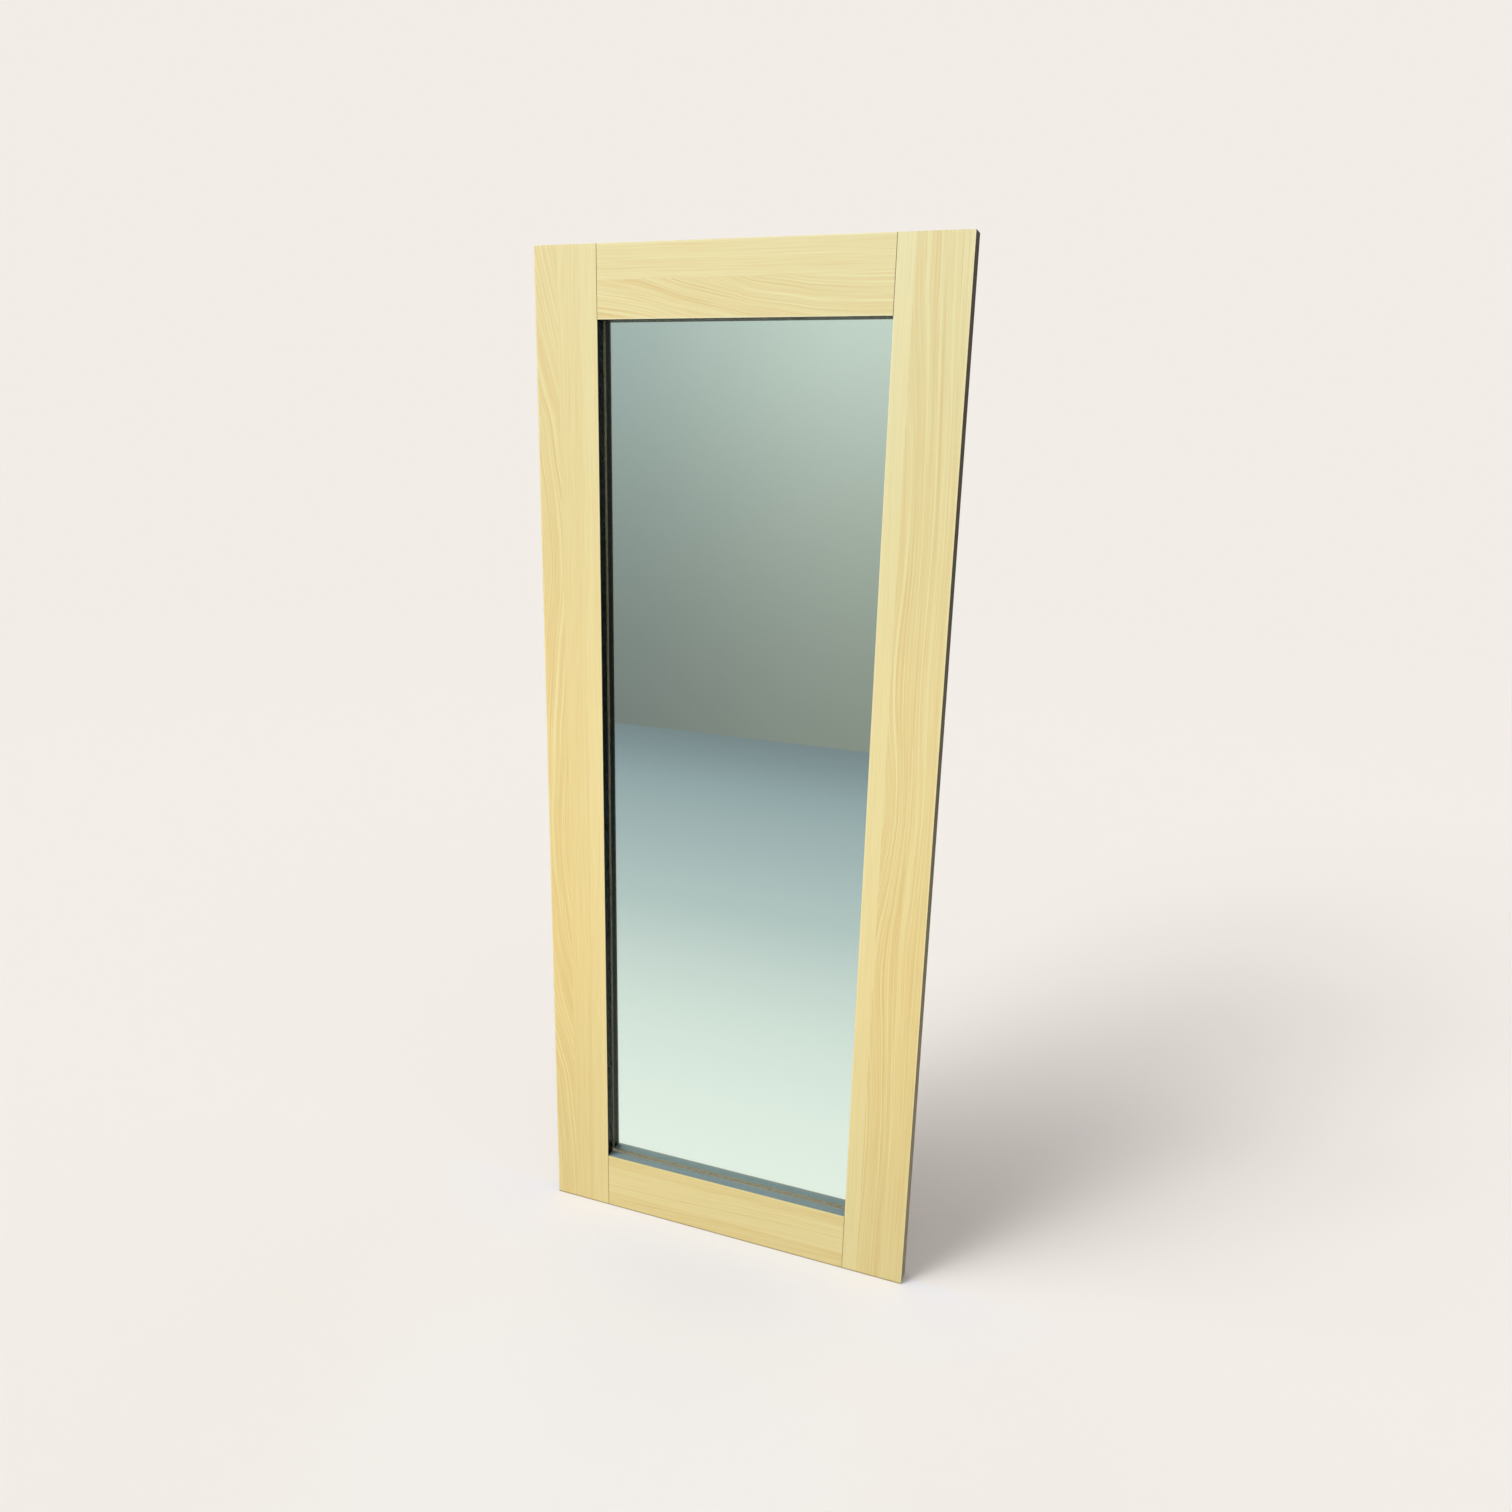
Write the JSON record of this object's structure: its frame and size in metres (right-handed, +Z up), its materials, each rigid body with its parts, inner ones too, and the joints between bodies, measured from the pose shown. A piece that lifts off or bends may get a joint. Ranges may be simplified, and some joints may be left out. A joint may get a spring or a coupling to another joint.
{
  "type": "wall mirror",
  "caption": "Tall rectangular wall mirror in a wide flat frame faced with pale wood-effect laminate, with dark edging, a recessed glass and hanging rings on the back.",
  "frame": {"origin": "centre of the lowest edge, halfway through the whole depth from the front face to the bumpers' flat ends", "axes": "+X to the right as seen from the front, +Y from the front face towards the wall, +Z up"},
  "size_m": [0.6, 0.034, 1.5],
  "materials": {
    "wood_laminate": "satin plastic laminate printed with a pale straight grain",
    "board_core": "bare pressed board",
    "outer_edging": "satin dark brown edging",
    "inner_edging": "glossy black edging",
    "batten_wood": "sawn softwood",
    "dowel_wood": "turned beech",
    "clear_glass": "polished float glass",
    "silvering": "mirror silvering",
    "foam": "soft white foam",
    "block_rubber": "matt black rubber",
    "hardboard": "smooth brown hardboard",
    "zinc_screw": "zinc plated",
    "plated_steel": "nickel plated",
    "ring_wire": "nickel plated",
    "bumper_rubber": "matt black rubber"
  },
  "bodies": {
    "frame": {"back_panel": "hardboard", "back_panel_screws": "zinc_screw", "bottom_batten": "batten_wood", "bottom_inner_band": "inner_edging", "bottom_outer_band": "outer_edging", "bottom_rail": "board_core", "bottom_rail_laminate": "wood_laminate", "corner_dowels": "dowel_wood", "edge_spacers": "block_rubber", "foam_sheet": "foam", "left_batten": "batten_wood", "left_hanger_plate": "plated_steel", "left_hanger_screws": "zinc_screw", "left_inner_band": "inner_edging", "left_outer_band": "outer_edging", "left_stile": "board_core", "left_stile_laminate": "wood_laminate", "mirror_glass": "clear_glass", "mirror_silvering": "silvering", "right_batten": "batten_wood", "right_hanger_plate": "plated_steel", "right_hanger_screws": "zinc_screw", "right_inner_band": "inner_edging", "right_outer_band": "outer_edging", "right_stile": "board_core", "right_stile_laminate": "wood_laminate", "setting_blocks": "block_rubber", "top_batten": "batten_wood", "top_inner_band": "inner_edging", "top_outer_band": "outer_edging", "top_rail": "board_core", "top_rail_laminate": "wood_laminate", "wall_bumpers": "bumper_rubber"},
    "left_ring": {"left_hanging_ring": "ring_wire"},
    "right_ring": {"right_hanging_ring": "ring_wire"}
  },
  "joints": [
    {"name": "left_ring_hinge", "type": "hinge", "parent": "frame", "child": "left_ring", "pos_m": [-0.2595, 0.01375, 1.2], "axis": [1, 0, 0], "range_deg": [0, 180]},
    {"name": "right_ring_hinge", "type": "hinge", "parent": "frame", "child": "right_ring", "pos_m": [0.2595, 0.01375, 1.2], "axis": [1, 0, 0], "range_deg": [0, 180]}
  ]
}
